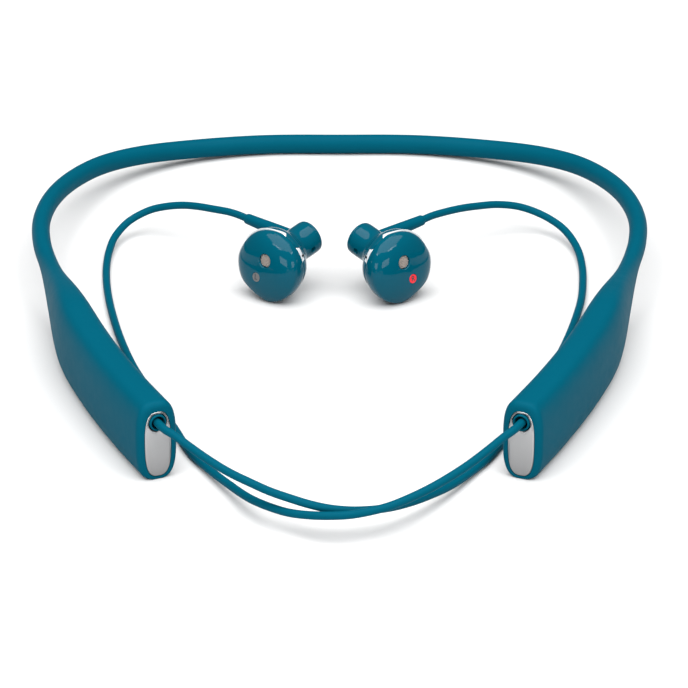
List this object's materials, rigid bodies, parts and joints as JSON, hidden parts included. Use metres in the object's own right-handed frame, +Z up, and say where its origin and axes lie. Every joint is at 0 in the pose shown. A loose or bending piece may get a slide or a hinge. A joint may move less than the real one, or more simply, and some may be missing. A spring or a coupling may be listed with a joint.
{
  "type": "neckband earphones",
  "caption": "Springy neckband with a flat-standing control module at each front end and a wired earbud on a short cable from each module.",
  "frame": {"origin": "middle of the footprint of the band, modules and earbuds, on the surface that the modules stand on", "axes": "+Z up, -Y the way the wearer faces, so the wearer's right is at -X"},
  "size_m": [0.1542, 0.2275, 0.019],
  "materials": {
    "band_rubber": "matt, soft to the touch",
    "module_plastic": "matt, soft-touch coat",
    "cable_rubber": "matt",
    "bud_gloss": "polished",
    "plate_silver": "satin anodised",
    "trim_chrome": "polished",
    "port_mesh": "woven mesh",
    "mark_grey": "printed",
    "mark_red": "printed",
    "spring_steel": "drawn wire",
    "small_steel": "stamped",
    "black_rubber": "matt",
    "board_green": "solder mask",
    "battery_foil": "foil",
    "film": "thin film",
    "light_pipe": "clear"
  },
  "bodies": {
    "root": {"band_back_sleeve": "band_rubber", "right_flex_sleeve": "band_rubber", "left_flex_sleeve": "band_rubber", "spring_core": "spring_steel", "signal_harness": "black_rubber", "left_bud_front_shell": "bud_gloss", "left_bud_port_mesh": "port_mesh", "left_bud_side_mark": "mark_grey", "left_bud_trim_ring": "trim_chrome", "left_bud_rear_shell": "bud_gloss", "left_bud_barrel_cap": "bud_gloss", "left_bud_driver": "small_steel", "left_bud_diaphragm": "film", "left_bud_cable_boot": "cable_rubber", "right_bud_front_shell": "bud_gloss", "right_bud_port_mesh": "port_mesh", "right_bud_side_mark": "mark_red", "right_bud_trim_ring": "trim_chrome", "right_bud_rear_shell": "bud_gloss", "right_bud_barrel_cap": "bud_gloss", "right_bud_driver": "small_steel", "right_bud_diaphragm": "film", "right_bud_cable_boot": "cable_rubber", "right_cable": "cable_rubber", "left_cable": "cable_rubber"},
    "right_arm": {"right_arm_sleeve": "band_rubber", "right_casing": "module_plastic", "right_inner_cover": "module_plastic", "right_cover_gasket": "black_rubber", "right_end_plate": "plate_silver", "right_cable_grommet": "cable_rubber", "power_switch": "small_steel", "call_switch": "small_steel", "key_board": "board_green", "status_light_pipe": "light_pipe", "battery_cell": "battery_foil"},
    "left_arm": {"left_arm_sleeve": "band_rubber", "left_casing": "module_plastic", "left_inner_cover": "module_plastic", "left_cover_gasket": "black_rubber", "left_end_plate": "plate_silver", "left_cable_grommet": "cable_rubber", "play_switch": "small_steel", "main_board": "board_green", "volume_up_switch": "small_steel", "volume_down_switch": "small_steel", "usb_socket": "small_steel", "microphone": "black_rubber"},
    "power_key": {"power_key": "module_plastic"},
    "call_key": {"call_key": "module_plastic"},
    "play_key": {"play_key": "module_plastic"},
    "volume_rocker": {"volume_rocker": "module_plastic"}
  },
  "joints": [
    {"name": "right_arm_flex", "type": "hinge", "parent": "root", "child": "right_arm", "pos_m": [-0.05945, 0.07493, 0.00647], "axis": [0, 0, -1], "range_deg": [0, 10], "stiffness_Nm_per_rad": 0.9, "deforming": ["right_flex_sleeve", "spring_core", "signal_harness"]},
    {"name": "left_arm_flex", "type": "hinge", "parent": "root", "child": "left_arm", "pos_m": [0.05945, 0.07493, 0.00647], "axis": [0, 0, 1], "range_deg": [0, 10], "stiffness_Nm_per_rad": 0.9, "deforming": ["left_flex_sleeve", "spring_core", "signal_harness"]},
    {"name": "power_key_press", "type": "slide", "parent": "right_arm", "child": "power_key", "axis": [-0.9661, -0.2581, 0], "range_m": [0, 0.0004], "stiffness_N_per_m": 600},
    {"name": "call_key_press", "type": "slide", "parent": "right_arm", "child": "call_key", "axis": [-0.938, -0.3467, 0], "range_m": [0, 0.0004], "stiffness_N_per_m": 600},
    {"name": "play_key_press", "type": "slide", "parent": "left_arm", "child": "play_key", "axis": [0.9661, -0.2581, 0], "range_m": [0, 0.0004], "stiffness_N_per_m": 600},
    {"name": "volume_rocker_tilt", "type": "hinge", "parent": "left_arm", "child": "volume_rocker", "pos_m": [0.05208, -0.06047, 0.0094], "axis": [0, 0, 1], "range_deg": [-2.5, 2.5], "stiffness_Nm_per_rad": 0.03}
  ]
}
